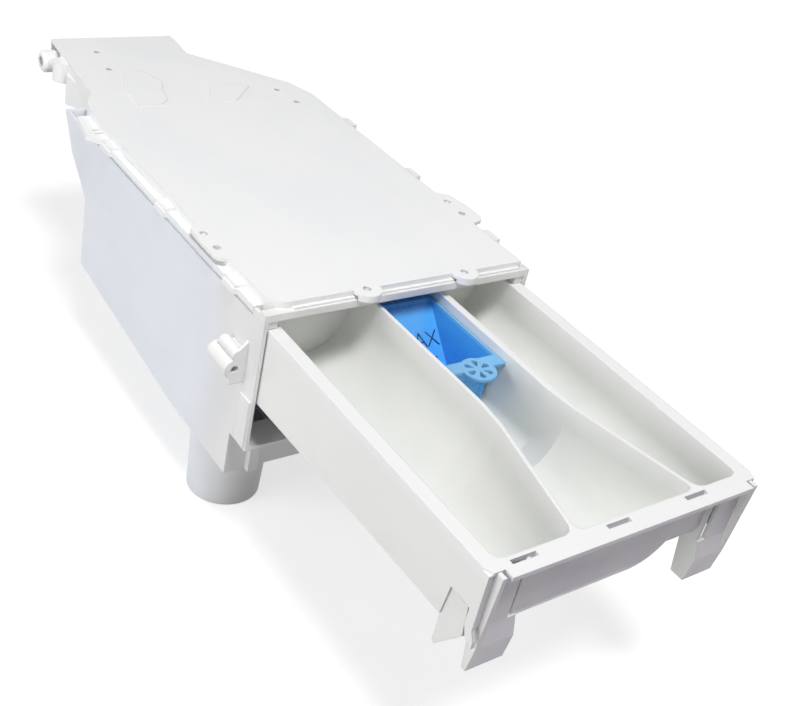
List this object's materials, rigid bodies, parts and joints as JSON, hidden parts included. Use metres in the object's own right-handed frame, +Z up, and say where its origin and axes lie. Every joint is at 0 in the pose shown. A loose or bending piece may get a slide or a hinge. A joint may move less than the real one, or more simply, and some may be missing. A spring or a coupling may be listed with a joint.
{
  "type": "detergent dispenser drawer",
  "caption": "Washing machine detergent dispenser: drawer with wash, softener and prewash tubs sliding in a housing with a water-spreading cover and an outlet spout.",
  "frame": {"origin": "midway between the two screw bosses on the housing's sides, in the plane of their faces", "axes": "+X to the right seen from the front, +Y from the drawer's front to the back, +Z up"},
  "size_m": [0.2126, 0.579, 0.175],
  "materials": {
    "housing": "moulded polypropylene, pale cool grey-white",
    "top_cover": "moulded polypropylene, white",
    "shower_tray": "moulded polypropylene, white",
    "drawer": "moulded polypropylene, warm white",
    "softener_cup": "moulded plastic, bright blue"
  },
  "bodies": {
    "case": {"housing": "housing", "top_cover": "top_cover", "shower_tray": "shower_tray"},
    "drawer": {"drawer": "drawer", "softener_cup": "softener_cup"}
  },
  "joints": [
    {"name": "drawer_slide", "type": "slide", "parent": "case", "child": "drawer", "axis": [0, 1, 0], "range_m": [0, 0.18]}
  ]
}
